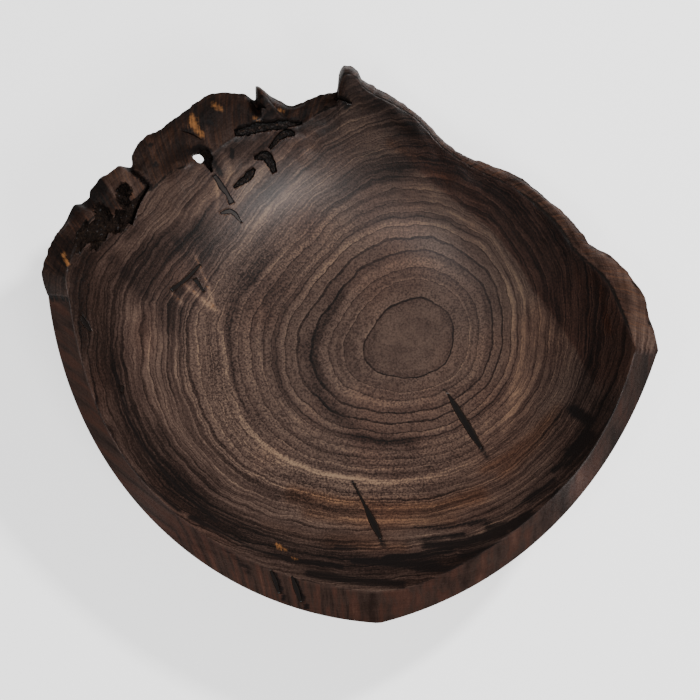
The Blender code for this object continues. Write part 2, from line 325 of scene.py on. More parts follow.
def shaped(ring, step):
    """The places of the body's points, by ring and step."""
    radius, height = rings[ring, step].T
    turn = np.radians(directions[step])
    x, y = radius * np.cos(turn), radius * np.sin(turn)
    top = np.clip((ring - first_lip_ring) / 4, 0, 1)
    height = height + relief(x, y) * top
    beside = natural_share(x, y) * (ring >= FOOT_RINGS)
    beside *= np.exp(-((np.maximum(rim_radius(directions[step]) - radius, 0) / OUTSIDE_REACH) ** 2))
    near = (beside > 0.01) & (top < 1)
    swell = np.zeros(len(radius))
    swell[near] = rough(x[near], y[near], height[near], ROLL_SIZE, 3) * OUTSIDE_SWELL
    pull = 1 + swell * beside * (1 - top) / np.maximum(radius, MM)
    return np.stack([x * pull, y * pull, height], axis=1)


def named_mesh_object(name, bm):
    """Turns a bmesh into a named object with smooth shading."""
    bm.normal_update()
    bmesh.ops.recalc_face_normals(bm, faces=bm.faces)
    mesh = bpy.data.meshes.new(name)
    bm.to_mesh(mesh)
    bm.free()
    mesh.shade_smooth()
    piece = bpy.data.objects.new(name, mesh)
    bpy.context.scene.collection.objects.link(piece)
    return piece


def spin_body():
    bm = bmesh.new()
    row = [bm.verts.new((ring, 0, 0)) for ring in range(len(rings))]
    for inner, outer in zip(row, row[1:]):
        bm.edges.new((inner, outer))
    bmesh.ops.spin(
        bm, geom=bm.verts[:] + bm.edges[:], axis=(0, 0, 1), cent=(0, 0, 0),
        angle=math.tau, steps=len(directions), use_merge=True,
    )
    flat = np.array([vertex.co for vertex in bm.verts])
    ring = np.hypot(flat[:, 0], flat[:, 1]).round().astype(int)
    step = (np.arctan2(flat[:, 1], flat[:, 0]) / math.tau * len(directions)).round().astype(int)
    for vertex, place in zip(bm.verts, shaped(ring, step % len(directions))):
        vertex.co = place
    bmesh.ops.remove_doubles(bm, verts=bm.verts, dist=0.001 * MM)
    return named_mesh_object("walnut_body", bm)


body = spin_body()
print("body points:", len(body.data.vertices))

# %% [markdown]
# Cracks, resin fills and bark sit in the wall along short routes. A strip is a grid laid along its route on
# the surface and extruded down. The same strip, a hair wider, cuts the groove, so a fill always fits it. The
# edges are ragged, because wood tears along its fibres. Each point keeps how near the strip's edge it is.

# %% Strips along a route
STRIP_STEP, STRIP_ACROSS = 1.1 * MM, 6
RAGGED_EDGE_SIZE = 2.4 * MM
BARK_CRUMB_SIZE = 1.8 * MM
CUTTER_RISE = 5 * MM
FIT_GAP = 0.05 * MM
WALL_LEFT = 2.2 * MM


def store(piece, name, values):
    """Keeps one number for each point of a piece, for its finish to read."""
    attribute = piece.data.attributes.new(name, "FLOAT", "POINT")
    attribute.data.foreach_set("value", np.asarray(values, np.float32))


def make_strip(name, route, top, bottom, margin=0.0, floor_share=1.0, roughness=0.0, torn=0.3):
    """A closed strip on the wall between two levels, narrowed to a share of its width at the bottom."""
    corners = np.array(route, float) * MM
    runs = np.hypot(*np.diff(corners[:, :2], axis=0).T)
    stations = np.column_stack([np.concatenate([[0], np.cumsum(runs)]), corners])
    length = stations[-1, 0]
    count = max(round(length / STRIP_STEP), 4)
    places = np.linspace(0, length, count + 1)
    x, y, width = (smooth_through(stations, column, places) for column in (1, 2, 3))
    onwards = np.stack([np.gradient(x), np.gradient(y)], axis=1)
    onwards /= np.hypot(*onwards.T)[:, None]
    bm = bmesh.new()
    bmesh.ops.create_grid(bm, x_segments=count, y_segments=STRIP_ACROSS, size=1)
    flat = np.array([vertex.co for vertex in bm.verts])
    index = ((flat[:, 0] + 1) / 2 * count).round().astype(int)
    across = flat[:, 1]
    side = np.stack([-onwards[index, 1], onwards[index, 0]], axis=1)
    middle = np.stack([x, y], axis=1)[index]
    tear = rough(*middle.T, np.sign(across) * 3 * MM, RAGGED_EDGE_SIZE) * torn
    half = width[index] / 2 * (1 + tear)
    end = (index == count).astype(float) - (index == 0)

    def level(share, offset, bumps):
        plan = middle + side * (across * (half * share + margin))[:, None]
        plan = plan + onwards[index] * (end * margin)[:, None]
        height = top_height(*plan.T) + offset
        if offset < -MM and share <= floor_share:
            height = np.maximum(height, outside_height(np.hypot(*plan.T)) + WALL_LEFT)
        if bumps:
            height = height + rough(*plan.T, 0, BARK_CRUMB_SIZE, 3) * bumps
        return np.column_stack([plan, height])

    upper, lower = level(1, top, roughness), level(floor_share, bottom, 0)
    first = bm.verts[:]
    copies = [v for v in bmesh.ops.extrude_face_region(bm, geom=bm.faces[:])["geom"] if hasattr(v, "co")]
    by_place = {tuple(round(c, 4) for c in vertex.co): place for vertex, place in zip(first, lower)}
    for vertex in copies:
        vertex.co = by_place[tuple(round(c, 4) for c in vertex.co)]
    for vertex, place in zip(first, upper):
        vertex.co = place
    piece = named_mesh_object(name, bm)
    store(piece, "edge", np.tile(np.maximum(np.abs(across), np.abs(end)), 2)[: len(piece.data.vertices)])
    return piece


# %% [markdown]
# The real cracks were filled with resin and sanded flush, and the deep pockets still hold bark. Routes and
# depths are the CAD model's, so each fill stands for its CAD node.

# %% Fills and bark
RESIN, BLUE_RESIN, BARK = "dark_resin", "blue_grey_resin", "bark"
FILLS = (  # name, slot, depth and sink in mm, then the route: x, y and width in mm
    ("floor_crack_fill_right", RESIN, 3.5, 0.1,
     ((59, -20, 0.8), (64, -29, 3.8), (72, -43, 4.2), (78, -54, 1.6))),
    ("floor_crack_fill_front", RESIN, 3.5, 0.1,
     ((2, -74, 0.8), (8, -86, 1.6), (14, -99, 4.2), (18, -108, 1.8))),
    ("knot_bar_fill", RESIN, 3, 0.2, ((-107, 40, 2.6), (-98, 48, 2), (-90, 57, 1.2))),
    ("knot_leg_fill", RESIN, 3, 0.2, ((-93.5, 48.5, 2.6), (-91, 45, 2), (-88, 41, 1))),
    ("left_wall_slit_fill", RESIN, 3, 0.5, ((-155, 17, 1.2), (-152.5, 12.5, 2.6), (-150, 9, 1.2))),
    ("pin_knot_fill", RESIN, 2.5, 0.4, ((-133, -20, 1.2), (-133.2, -22, 1.8), (-133, -24, 1.2))),
    ("back_check_fill", BLUE_RESIN, 3, 0.15, ((-81, 107, 2), (-77, 102, 3.6), (-73, 97, 2.6), (-71, 93, 4))),
    ("back_check_foot_fill", BLUE_RESIN, 3, 0.15, ((-78, 87, 1), (-72, 88.7, 3), (-65.5, 83, 1))),
    ("rim_check_fill_left", RESIN, 3, 0.1, ((-45.5, -128, 1.2), (-43, -134, 2.4), (-40.5, -141, 1.4))),
    ("rim_check_fill_right", RESIN, 3, 0.1, ((-33.5, -131, 1.2), (-31, -138, 2.8), (-28, -146, 1.4))),
    ("bark_slot_inclusion", BARK, 5, 2,
     ((-68, 130, 2.4), (-64, 131, 5), (-50, 134.5, 4), (-42, 136, 4.4), (-29, 138, 1))),
    ("bark_boot_inclusion", BARK, 4.5, 1.6,
     ((-33.5, 132, 1.2), (-37, 132.5, 3.4), (-42, 130, 2.6), (-48, 124, 1.2))),
    ("bark_toe_inclusion", BARK, 4.5, 1.6,
     ((-57, 118.5, 1.4), (-51, 119.8, 4.6), (-48, 117, 5.4), (-45.5, 112, 2.4))),
    ("bark_spindle_inclusion", BARK, 4, 1.2,
     ((-57.5, 112.5, 1.2), (-60.5, 109, 3.8), (-65, 105.5, 3), (-69.5, 102, 0.8))),
)
ROUGHNESS_OF = {RESIN: 0.0, BLUE_RESIN: 0.0, BARK: 1.4 * MM}
TORN_OF = {RESIN: 0.1, BLUE_RESIN: 0.25, BARK: 0.35}
BARK_GAP = 0.45 * MM

fill_pieces, cutters = [], []
for name, slot, depth, sink, route in FILLS:
    torn = TORN_OF[slot]
    made = make_strip(
        name + "_piece", route, -sink * MM, -depth * MM, roughness=ROUGHNESS_OF[slot], torn=torn
    )
    fill_pieces.append((made, name, slot))
    gap = BARK_GAP if slot == BARK else FIT_GAP
    groove_floor = -depth * MM - FIT_GAP
    cutters.append(make_strip(name + "_groove", route, CUTTER_RISE, groove_floor, gap, torn=torn))
print("fills:", len(fill_pieces))

# %% [markdown]
# Open cracks are the same strips, narrower at the bottom and left empty. The voids where the bark fell out
# are rough round pockets, and one goes right through the wall as a small hole.

# %% Open cracks, voids and the hole
OPEN_CRACKS = (  # route and depth in mm
    (((-140, 116, 7), (-132, 108, 5.6), (-124, 101, 4), (-117, 95, 1.8)), 9),
    (((-118, 96, 2), (-122, 90, 4), (-127, 83, 7), (-130, 74, 7)), 7),
    (((-87.5, 119, 2.6), (-85.2, 114.5, 6.4), (-82.2, 108.5, 1.4)), 7),
    (((-11, 153, 2), (-5, 150, 3.4), (1, 147.5, 1.2)), 5),
    (((-59, 148, 1.6), (-54, 145, 3.6), (-50, 143, 1.4)), 5),
    (((-99, 128, 0.6), (-93, 126.5, 1), (-87.5, 124, 0.6)), 2),
)
VOIDS = (  # direction, radius and depth, then half widths along the rim, across it and down, in mm
    ((155, 159.5, 1), (14, 8, 7)),
    ((151.6, 153, 1), (8, 6, 6)),
    ((145.6, 160.5, 0), (5.6, 5, 5)),
    ((147.2, 156, 0.5), (3.4, 6, 4.5)),
    ((151.2, 164, 1), (3.6, 6, 4)),
    ((158.3, 164.5, 0), (10, 5, 5)),
    ((126.6, 143.5, 1), (4.6, 5.4, 4.6)),
)
WALL_SLOPE, VOID_ROUGHNESS = 0.55, 0.28
HOLE_PLACE, HOLE_RADIUS, HOLE_LENGTH = (-90, 116), 3.1 * MM, 60 * MM
HOLE_MIDDLE = 50 * MM
HOLE_LEAN, HOLE_TURN, HOLE_STRETCH = math.radians(10), math.radians(-48), 1.22


def make_void(name, place, half_sizes):
    """A closed ball with torn walls, its long side along the rim, to cut a pocket with."""
    direction, radius, depth = place
    turn = math.radians(direction)
    x, y = radius * MM * math.cos(turn), radius * MM * math.sin(turn)
    inward = Vector((-math.cos(turn), -math.sin(turn), 0)) * WALL_SLOPE
    normal = (Vector((0, 0, 1)) + inward).normalized()
    along = Vector((-math.sin(turn), math.cos(turn), 0))
    across = normal.cross(along)
    centre = Vector((x, y, float(turned_top(np.array([x]), np.array([y]))[0]))) - normal * depth * MM
    bm = bmesh.new()
    bmesh.ops.create_icosphere(bm, subdivisions=5, radius=1)
    for vertex in bm.verts:
        torn = noise.fractal(vertex.co * 2.2 + centre * 90, 0.8, 2.1, 4)
        local = vertex.co * (1 + VOID_ROUGHNESS * torn)
        local = Vector(local[i] * half_sizes[i] * MM for i in range(3))
        vertex.co = centre + along * local.x + across * local.y + normal * local.z
    return named_mesh_object(name, bm)


def make_hole():
    """A leaning rod with an oval section, to cut the hole with."""
    x, y = HOLE_PLACE[0] * MM, HOLE_PLACE[1] * MM
    bm = bmesh.new()
    bmesh.ops.create_cone(
        bm, cap_ends=True, segments=40, radius1=HOLE_RADIUS, radius2=HOLE_RADIUS, depth=HOLE_LENGTH
    )
    for vertex in bm.verts:
        torn = 0.95 + 0.35 * noise.noise(Vector((vertex.co.x, vertex.co.y, 2 * MM)) / HOLE_RADIUS)
        long, short = vertex.co.x * torn * HOLE_STRETCH, vertex.co.y * torn / HOLE_STRETCH
        east = long * math.cos(HOLE_TURN) - short * math.sin(HOLE_TURN)
        north = long * math.sin(HOLE_TURN) + short * math.cos(HOLE_TURN)
        lean = vertex.co.z * math.tan(HOLE_LEAN)
        vertex.co = (x + east, y + north - lean, vertex.co.z + HOLE_MIDDLE)
    return named_mesh_object("wall_hole", bm)


cracks = [
    make_strip(f"open_crack_{index}", route, CUTTER_RISE, -depth * MM, floor_share=0.45)
    for index, (route, depth) in enumerate(OPEN_CRACKS)
]
voids = [make_void(f"void_{index}", *void) for index, void in enumerate(VOIDS)]
print("cracks and voids:", len(cracks), len(voids))

# %% [markdown]
# A Boolean cuts the grooves and voids one by one. Every cutter is a closed mesh, so the fast manifold solver
# can do it, and each result is applied because everything after this measures the final surface.

# %% Cut the body
def cut(piece, cutter):
    """Cuts a piece and leaves plain mesh behind."""
    modifier = piece.modifiers.new(cutter.name, "BOOLEAN")
    modifier.operation = "DIFFERENCE"
    modifier.solver = "MANIFOLD"
    modifier.object = cutter
    evaluated = piece.evaluated_get(bpy.context.evaluated_depsgraph_get())
    mesh = bpy.data.meshes.new_from_object(evaluated)
    piece.modifiers.remove(modifier)
    piece.data = mesh
    bpy.data.objects.remove(cutter)


for cutter in cutters + cracks + voids + [make_hole()]:
    cut(body, cutter)
print("body points after the cuts:", len(body.data.vertices))

# %% [markdown]
# Growth rings are layers of the tree, so they belong to the wood and not to the bowl's shape. Their centre
# moves as they grow, and they are wider on one side: the solid field below gives every point its distance
# from the heart in millimetres of growth. Points on the wall store it, and the finish draws the rings from
# it.

# %% The growth field
HEART = np.array([40, 10.0])
HEART_DRIFT = np.array([-0.1875, 0.167])
INNER_SHAPE = (  # direction from the heart and how far the rings bulge that way
    (-180, 0.98), (-150, 1.12), (-120, 1), (-90, 0.93), (-60, 0.95), (-30, 1.08), (0, 1.1), (30, 1.12),
    (60, 1.02), (90, 0.93), (120, 0.88), (150, 0.9), (180, 0.98),
)
OUTER_SHAPE = (
    (-180, 1.03), (-150, 1.1), (-135, 1.11), (-110, 1.04), (-85, 1.02), (-62, 1.06), (-26, 1.1), (0, 1.08),
    (30, 1.05), (60, 1.02), (96, 0.955), (114, 0.885), (135, 0.85), (155, 0.875), (180, 1.03),
)
SHAPE_CHANGES = 80
GROWTH_PASSES = 14
ACROSS_WALL, FLARE_REACH = 1.4, 40 * MM


def growth(x, y):
    """The distance from the heart, in millimetres of growth, at a place in plan."""
    x, y = x / MM, y / MM
    found = np.hypot(x - HEART[0], y - HEART[1])
    for _ in range(GROWTH_PASSES):
        east = x - HEART[0] - HEART_DRIFT[0] * found
        north = y - HEART[1] - HEART_DRIFT[1] * found
        direction = np.degrees(np.arctan2(north, east))
        share = np.clip(found / SHAPE_CHANGES, 0, 1)
        bulge = smooth_through(INNER_SHAPE, 1, direction) * (1 - share)
        bulge += smooth_through(OUTER_SHAPE, 1, direction) * share
        found = 0.5 * found + 0.5 * np.hypot(east, north) / bulge
    return found


points = np.array([vertex.co for vertex in body.data.vertices])
x, y, z = points.T
radius = np.hypot(x, y)
direction = from_natural_start(np.degrees(np.arctan2(y, x)))
below_top = np.maximum(turned_top(x, y) - z, 0) / MM
rings_at = growth(x, y)
flaring = np.clip((radius - FOOT_RADIUS) / FLARE_REACH, 0, 1)
rings_at = rings_at + ACROSS_WALL * below_top * flaring
print("growth from", rings_at.min().round(1), "to", rings_at.max().round(1), "mm")

# %% [markdown]
# Walnut is never one colour. Ink-dark streaks, warm brown bands and pale sapwood lie where the tree put
# them, so they are laid down as soft strokes: a route, a half width and a strength. A darker crescent on the
# right wall is drawn as well. The ink comes first: the black streaks and stains of the walls and of the sawn
# rim.

# %% Strokes of ink
LIP_INK = (  # route as x, y, x, y and so on in mm, half width in mm and strength
    ((-46, -124, -42, -132, -37, -146), 1.2, 1), ((-34, -127, -30, -137, -24, -151), 1.5, 1),
    ((-96, -92, -76, -110, -58, -128), 2.6, 0.6), ((-112, -82, -94, -98, -80, -112), 1.6, 0.4),
    ((-40, -124, -34, -126), 1.2, 0.8),
)
INK = (
    ((44, -112, 66, -112, 88, -106), 3, 0.9), ((22, -119, 42, -119, 58, -116), 2.6, 0.9),
    ((2, -121, 34, -124, 50, -124), 2.6, 0.8), ((40, -126, 60, -127, 84, -120), 3, 0.9),
    ((64, -119, 84, -114, 100, -106), 2.4, 0.8), ((96, -104, 110, -95, 120, -84), 3, 0.8),
    ((70, -101, 92, -94, 108, -82), 1.6, 0.6), ((30, -112, 48, -108, 66, -106), 1.4, 0.6),
    ((-8, 158, -6, 152, -2, 147), 3, 0.9), ((130, -34, 138, -42), 3.6, 1),
    ((128, -60, 133, -56, 137, -51), 4.6, 1), ((118, -70, 126, -66), 2.2, 0.8),
    ((104, -88, 118, -77), 3, 0.7), ((80, -103, 95, -101, 103, -96), 3, 0.9),
    ((38, -101, 56, -102, 78, -98), 1.3, 0.8), ((60, -108, 80, -107, 100, -98), 1.6, 0.7),
    ((-24, -129, 0, -133, 30, -136), 3, 0.8),
    ((-136, -14, -129, -40, -119, -58, -99, -81, -78, -98), 1.1, 0.8),
    ((-143, -49, -124, -72, -98, -94), 1.4, 0.6),
    ((-92, -97, -60, -113, -35, -121, -5, -125), 1.6, 0.8),
    ((-70, -66, -50, -84, -36, -90), 1, 0.4), ((-88, -94, -68, -99, -48, -106), 5, 0.4),
    ((-8, -113, 4, -114), 2.4, 0.6), ((1, -72, 5, -80), 1, 0.8), ((57, -17, 60, -22), 0.9, 0.8),
    ((77, -52, 81, -59), 2, 0.7), ((16, -104, 20, -113), 2, 0.8),
    ((-118, 32, -130, 44, -138, 52), 6, 0.4), ((-100, 63, -104, 70), 4, 0.5),
    ((-10, 126, 12, 123, 36, 119), 4, 0.35), ((-83, 117, -80, 112, -77, 108), 2, 0.8),
    ((-70.5, 118, -70, 121), 1.5, 1), ((-68, 125.5, -67.5, 126.5), 1, 1),
    ((-117, 118, -116, 119), 1.3, 1), ((-114, 107, -113, 108), 1.2, 1),
    ((-98, 129, -88, 127), 1.2, 0.9), ((-84, 134, -80, 133), 1.3, 0.9),
    ((-95, 117, -89, 120, -83, 119), 1.6, 1), ((-142, 118, -132, 108, -124, 101, -117, 95), 2.2, 1),
    ((-152, 82, -148, 79, -144, 77), 3, 1), ((-66, 133, -50, 137, -32, 140), 1.2, 0.8),
)
print("strokes of ink:", len(LIP_INK) + len(INK))

# %% [markdown]
# Warm bands are young wood with more red in it, and pale flecks are sapwood, left where the edge of the log
# dips into the wall.

# %% Warm and pale strokes
WARM = (
    ((-34, -81, -6, -87, 24, -90, 53, -88, 76, -82), 7, 0.9),
    ((-24, -92, 18, -99, 60, -98), 6, 0.7), ((79, -67, 94, -59, 109, -47, 116, -40), 4, 0.7),
    ((24, 128, 42, 118, 60, 106), 4, 0.8), ((-10, -110, 30, -113), 6, 0.7),
    ((90, -70, 110, -52, 122, -34), 6, 0.7), ((143, 44, 147, 26, 150, 8), 2.2, 1),
    ((132, 52, 138, 30, 141, 8), 2, 0.7), ((-50, -100, -20, -108, 10, -110), 6, 0.5),
    ((-152, 48, -148, 28, -140, 8), 9, 0.35),
)
PALE = (
    ((-92, 136, -92, 131, -88, 127), 3, 1), ((-80, 143, -76, 141), 2.4, 0.9),
    ((-57, 138, -54, 137), 2, 0.8), ((-43, 142, -40, 144), 2, 0.7), ((-164, 50, -161, 44), 1.6, 1),
    ((-43, -111.5, -38.5, -115), 1.7, 1), ((-34, -120, -29, -121), 1.2, 0.6),
    ((-93, 62, -87, 48, -81, 30), 0.9, 0.5), ((-100, 45, -92, 39, -83, 32), 1.6, 0.5),
    ((-106, 38, -101, 33), 1.6, 0.4), ((-74, 117, -72, 109), 2, 0.35),
)
print("warm and pale strokes:", len(WARM) + len(PALE))

# %% [markdown]
# Lighter and darker strokes change the tone and keep the hue. One cream ring shows more clearly than the
# others on the left of the floor. The right wall is darker and redder past a sharp line.

# %% Lighter, darker and the dark crescent
CREAM = (((-80, 30, -77, 19, -64, -37, -33, -62, 20, -74, 50, -71), 7, 1),)
LIP_DARK = (((178, -4, 170, -36, 152, -74), 14, 1), ((20, -152, -6, -158), 6, 0.4))
DARK_CRESCENT = (  # direction, then the radius in mm at which the dark crescent starts
    (-12, 150), (-7, 140.7), (3, 129.7), (12, 121.6), (22, 115.5), (38, 114), (56, 113.7), (68, 118),
    (80, 130),
)
LIGHTER_AND_SHEEN = (
    ((-77, 19, -73, -10, -64, -37, -50, -53, -33, -62, -13, -69, 20, -74, 48, -71), 1.2, 1),
    ((-54, 38, -56, 8, -46, -22, -28, -42, -4, -54, 24, -60), 1.1, 0.6),
    # The two broad strokes on the next line lighten the back of the floor and its wall round the sheen:
    # lighter wood and painted sheen.
    ((-28, 64, -2, 74, 30, 78, 56, 74), 14, 0.35), ((-60, 66, -36, 90, -14, 106), 12, 0.25),
    ((48, -71, 71, -63, 90, -48, 99, -20), 2.6, 0.5), ((99, -20, 103, 10, 98, 40), 5, 0.6),
    ((-134, 60, -118, 72, -100, 84), 3, 0.6), ((-128, 20, -112, 50, -98, 66), 2.4, 0.4),
    ((-22, 134, -26, 118, -40, 98, -62, 80), 3, 0.5), ((28, 150, 60, 128, 90, 112), 3, 0.5),
    ((140, 74, 156, 52, 166, 24, 170, 2), 6, 0.4), ((-93, 62, -87, 48, -81, 30), 1.1, 1),
    ((-100, 45, -92, 39, -83, 32), 2, 1), ((-106, 38, -101, 33), 1.6, 0.7),
    ((-74, 117, -72, 109), 3, 0.7), ((-80, 105, -79, 96, -80, 88), 1.2, 0.8),
    ((112, 100, 130, 84), 5, 0.5),
    ((50, 98, 75, 81, 86, 67, 96, 53, 103, 41, 114, 25, 122, 8), 3.4, 0.5),
    ((-136, 98, -128, 106), 6, 0.25), ((-143, 97, -138, 90, -134, 85), 0.9, 0.9),
    ((-131, 96, -124, 92), 1.5, 0.4), ((-120, 112, -108, 122, -98, 130), 4, 0.3),
    ((-20, -85, 20, -90, 50, -88), 1.4, 0.8), ((-40, -84, 0, -96, 45, -98), 1.2, 0.6),
)
DARKER_AND_SHADE = (
    ((-158, 52, -154, 20, -142, -12, -128, -45, -100, -82), 17, 0.85),
    ((-96, -86, -60, -108, -20, -122), 11, 0.75), ((-124, 44, -112, 62, -92, 74), 11, 0.8),
    ((-110, 20, -108, 40), 7, 0.5), ((-142, 60, -128, 70), 7, 0.5), ((-60, 50, -52, 66), 6, 0.35),
    ((28, 142, 60, 120, 88, 96), 10, 0.3), ((96, 92, 130, 56, 146, 14), 14, 0.2),
    ((-10, -124, 40, -128, 90, -114, 124, -80, 148, -36), 12, 0.8), ((4, 100, 30, 112), 8, 0.4),
    ((-6, 40, -25, 8, -16, -26, 6, -44, 36, -50), 5, 0.55), ((-20, 74, -40, 52, -60, 30), 6, 0.25),
    ((-46, 100, -28, 118, -12, 132), 7, 0.3), ((-160, 76, -150, 86, -144, 92), 10, 0.9),
    ((-120, 112, -104, 122, -80, 142, -58, 142, -30, 144), 11, 0.75),
    # The first stroke on the next line darkens the dent in the crease between the lobe and the hole: painted
    # shade.
    ((-106, 106, -97, 114), 5, 0.9), ((-104, 129, -96, 141), 8, 0.7),
    ((-152, 92, -140, 82), 5, 0.9), ((-12, 150, 0, 158, 14, 150, 40, 136), 7, 0.6),
    ((-30, 138, -12, 140), 6, 0.6), ((-80, 112, -66, 122, -52, 128), 7, 0.45),
)
print("lighter and darker strokes:", len(LIGHTER_AND_SHEEN) + len(DARKER_AND_SHADE))

# %% [markdown]
# The finish needs to know what each point of the surface is: inside wall, sawn lip, natural edge, pocket or
# outside. These zones, and the strokes, are worked out on the final surface. Each becomes an attribute, one
# number for each point, which fades over a few millimetres so that no zone ends in a hard line.

# %% Lay the strokes and the zones on the wall
SKIN, LIP_FADE = 3 * MM, 0.8 * MM
POCKET_START, POCKET_FADE, POCKET_WALL = 0.3 * MM, 0.9 * MM, 1.8 * MM
STEEP_START, STEEP_REACH = 82 * MM, 24 * MM
DARK_CRESCENT_EDGE, DARK_CRESCENT_FIRST_FADE, DARK_CRESCENT_LAST_FADE = 1.4 * MM, 6, 14
CRUST_REACH, CRUST_DEPTH = 3.5 * MM, 8 * MM
LOWEST_CRUST, LOWEST_NATURAL = 40 * MM, 30 * MM
SWEEP_LEAN, RIM_LEAN, RIM_LEAN_REACH = 0.6, 1.3, 100 * MM


def nearness(x, y, route, half_width):
    """1 on a route and less away from it, falling off smoothly over the half width."""
    corners = np.reshape(route, (-1, 2)) * MM
    gap = np.full(x.shape, 1.0)
    for (start_x, start_y), (end_x, end_y) in zip(corners, corners[1:]):
        run_x, run_y = end_x - start_x, end_y - start_y
        share = ((x - start_x) * run_x + (y - start_y) * run_y) / (run_x**2 + run_y**2)
        share = np.clip(share, 0, 1)
        gap = np.minimum(gap, np.hypot(x - start_x - share * run_x, y - start_y - share * run_y))
    return np.exp(-((gap / (half_width * MM)) ** 2))


def strokes(kinds):
    """Several strokes laid over each other at every point, none of them past full strength."""
    rest = np.ones(x.shape)
    for route, half_width, strength in kinds:
        rest *= 1 - strength * nearness(x, y, route, half_width)
    return 1 - rest


def old_wood():
    """1 past the line where the dark crescent starts, fading at both ends of the line."""
    turned_to = (direction + 90) % 360 - 90
    past_start = (radius - smooth_through(DARK_CRESCENT, 1, turned_to) * MM) / DARK_CRESCENT_EDGE
    first_end = np.clip((turned_to - DARK_CRESCENT[0][0]) / DARK_CRESCENT_FIRST_FADE, 0, 1)
    last_end = np.clip((DARK_CRESCENT[-1][0] - turned_to) / DARK_CRESCENT_LAST_FADE, 0, 1)
    return np.clip(past_start, 0, 1) * first_end * last_end


def crust():
    """1 on the outermost millimetres of the natural edge, where the bark has stained it."""
    beside = np.exp(-((np.maximum(rim_at - radius, 0) / CRUST_REACH) ** 2))
    under = np.exp(-((np.maximum(below_top * MM - SKIN, 0) / CRUST_DEPTH) ** 2))
    return beside * under * (1 - sawn) * (z > LOWEST_CRUST)


def sweep():
    """The way along the rim in mm, which end-grain stripes are drawn across."""
    lean = RIM_LEAN * np.clip(-x / RIM_LEAN_REACH, 0, 1)
    round_rim = radius.max() * np.radians(direction) + SWEEP_LEAN * radius
    return np.where(direction > NATURAL_END, x + lean * y, round_rim) / MM


inside_wall = np.clip(1 - below_top * MM / SKIN, 0, 1)
sawn = (direction > NATURAL_END).astype(float)
rim_at = rim_radius(direction)
on_lip = np.clip((radius - rim_at + lip_width(direction)) / LIP_FADE, 0, 1) * inside_wall
open_wood = (z - outside_height(radius) > POCKET_WALL) & (z > FOOT_HEIGHT + MM)
in_cut = np.clip((top_height(x, y) - z - POCKET_START) / POCKET_FADE, 0, 1) * open_wood
on_natural = np.clip(on_lip + below_top * MM / SKIN, 0, 1) * (z > LOWEST_NATURAL)

inside_only = inside_wall * (1 - on_lip * sawn)
for name, kinds in (("ink", INK), ("warm", WARM), ("light", LIGHTER_AND_SHEEN), ("dark", DARKER_AND_SHADE), ("cream", CREAM)):
    store(body, name, strokes(kinds) * inside_only)
for name, kinds in (("lip_ink", LIP_INK), ("lip_dark", LIP_DARK)):
    store(body, name, strokes(kinds) * on_lip * sawn)
store(body, "pale", strokes(PALE) * inside_wall)
store(body, "old_wood", old_wood() * inside_wall * (1 - on_lip))
store(body, "crust", crust())
store(body, "growth", rings_at)
store(body, "sweep", sweep())
store(body, "wall", np.clip((radius - STEEP_START) / STEEP_REACH, 0, 1))
store(body, "lip", on_lip * sawn)
store(body, "natural", natural_share(x, y) * on_natural)
store(body, "pocket", in_cut)
store(body, "outside", 1 - inside_wall)
print("attributes:", len(body.data.attributes), "and points in pockets:", int((in_cut > 0.5).sum()))

# %% [markdown]
# Finishes are sums and products of patterns. Written as node links they are hard to read, so a small class
# wraps one socket and turns ordinary arithmetic into Math nodes. Every other node comes from its one method.

# %% Patterns as arithmetic
class Pattern:
    """One value or colour that varies over a surface. Arithmetic on it adds Math nodes."""

    def __init__(self, tree, socket=None):
        self.tree = tree
        self.socket = socket

    def node(self, kind, settings=None, values=None, output=0):
        """A node of any type: its settings first, then the values or links of its sockets."""
        made = self.tree.nodes.new(kind)
        for name, value in (settings or {}).items():
            if name == "stops":
                while len(made.color_ramp.elements) < len(value):
                    made.color_ramp.elements.new(0.5)
                for element, (place, colour) in zip(made.color_ramp.elements, value):
                    element.position = place
                    element.color = (*colour, 1)
            else:
                setattr(made, name, value)
        for name, value in (values or {}).items():
            if isinstance(value, Pattern):
                self.tree.links.new(value.socket, made.inputs[name])
            else:
                made.inputs[name].default_value = value
        return Pattern(self.tree, made.outputs[output])

    def math(self, operation, *values):
        return self.node("ShaderNodeMath", {"operation": operation}, dict(enumerate(values)))

    def __add__(self, other):
        return self.math("ADD", self, other)

    def __radd__(self, other):
        return self.math("ADD", other, self)

    def __sub__(self, other):
        return self.math("SUBTRACT", self, other)

    def __rsub__(self, other):
        return self.math("SUBTRACT", other, self)

    def __mul__(self, other):
        return self.math("MULTIPLY", self, other)

    def __rmul__(self, other):
        return self.math("MULTIPLY", other, self)

    def __truediv__(self, other):
        return self.math("DIVIDE", self, other)

    def between(self, low, high):
        """0 below one value, 1 above another and smooth in between."""
        return self.node(
            "ShaderNodeMapRange", {"interpolation_type": "SMOOTHSTEP"}, {0: self, 1: low, 2: high}
        )

    def stored(self, name):
        return self.node("ShaderNodeAttribute", {"attribute_name": name}, output="Fac")

    def joined(self, x, y, z):
        return self.node("ShaderNodeCombineXYZ", None, {0: x, 1: y, 2: z})

    def cloud(self, place, scale, detail=3.0, roughness=0.55):
        values = {"Vector": place, "Scale": scale, "Detail": detail, "Roughness": roughness}
        return self.node("ShaderNodeTexNoise", None, values)

    def tinted(self, amount, colour, blend="MIX"):
        """This colour with another laid over it, by an amount that may vary."""
        settings = {"data_type": "RGBA", "blend_type": blend}
        return self.node("ShaderNodeMix", settings, {0: amount, 6: self, 7: colour}, output=2)


def new_finish(name):
    """An empty material: its patterns start from the first result, and its shader is the second."""
    made = bpy.data.materials.new(name)
    made.use_nodes = True
    shader = made.node_tree.nodes["Principled BSDF"]
    return made, Pattern(made.node_tree), shader


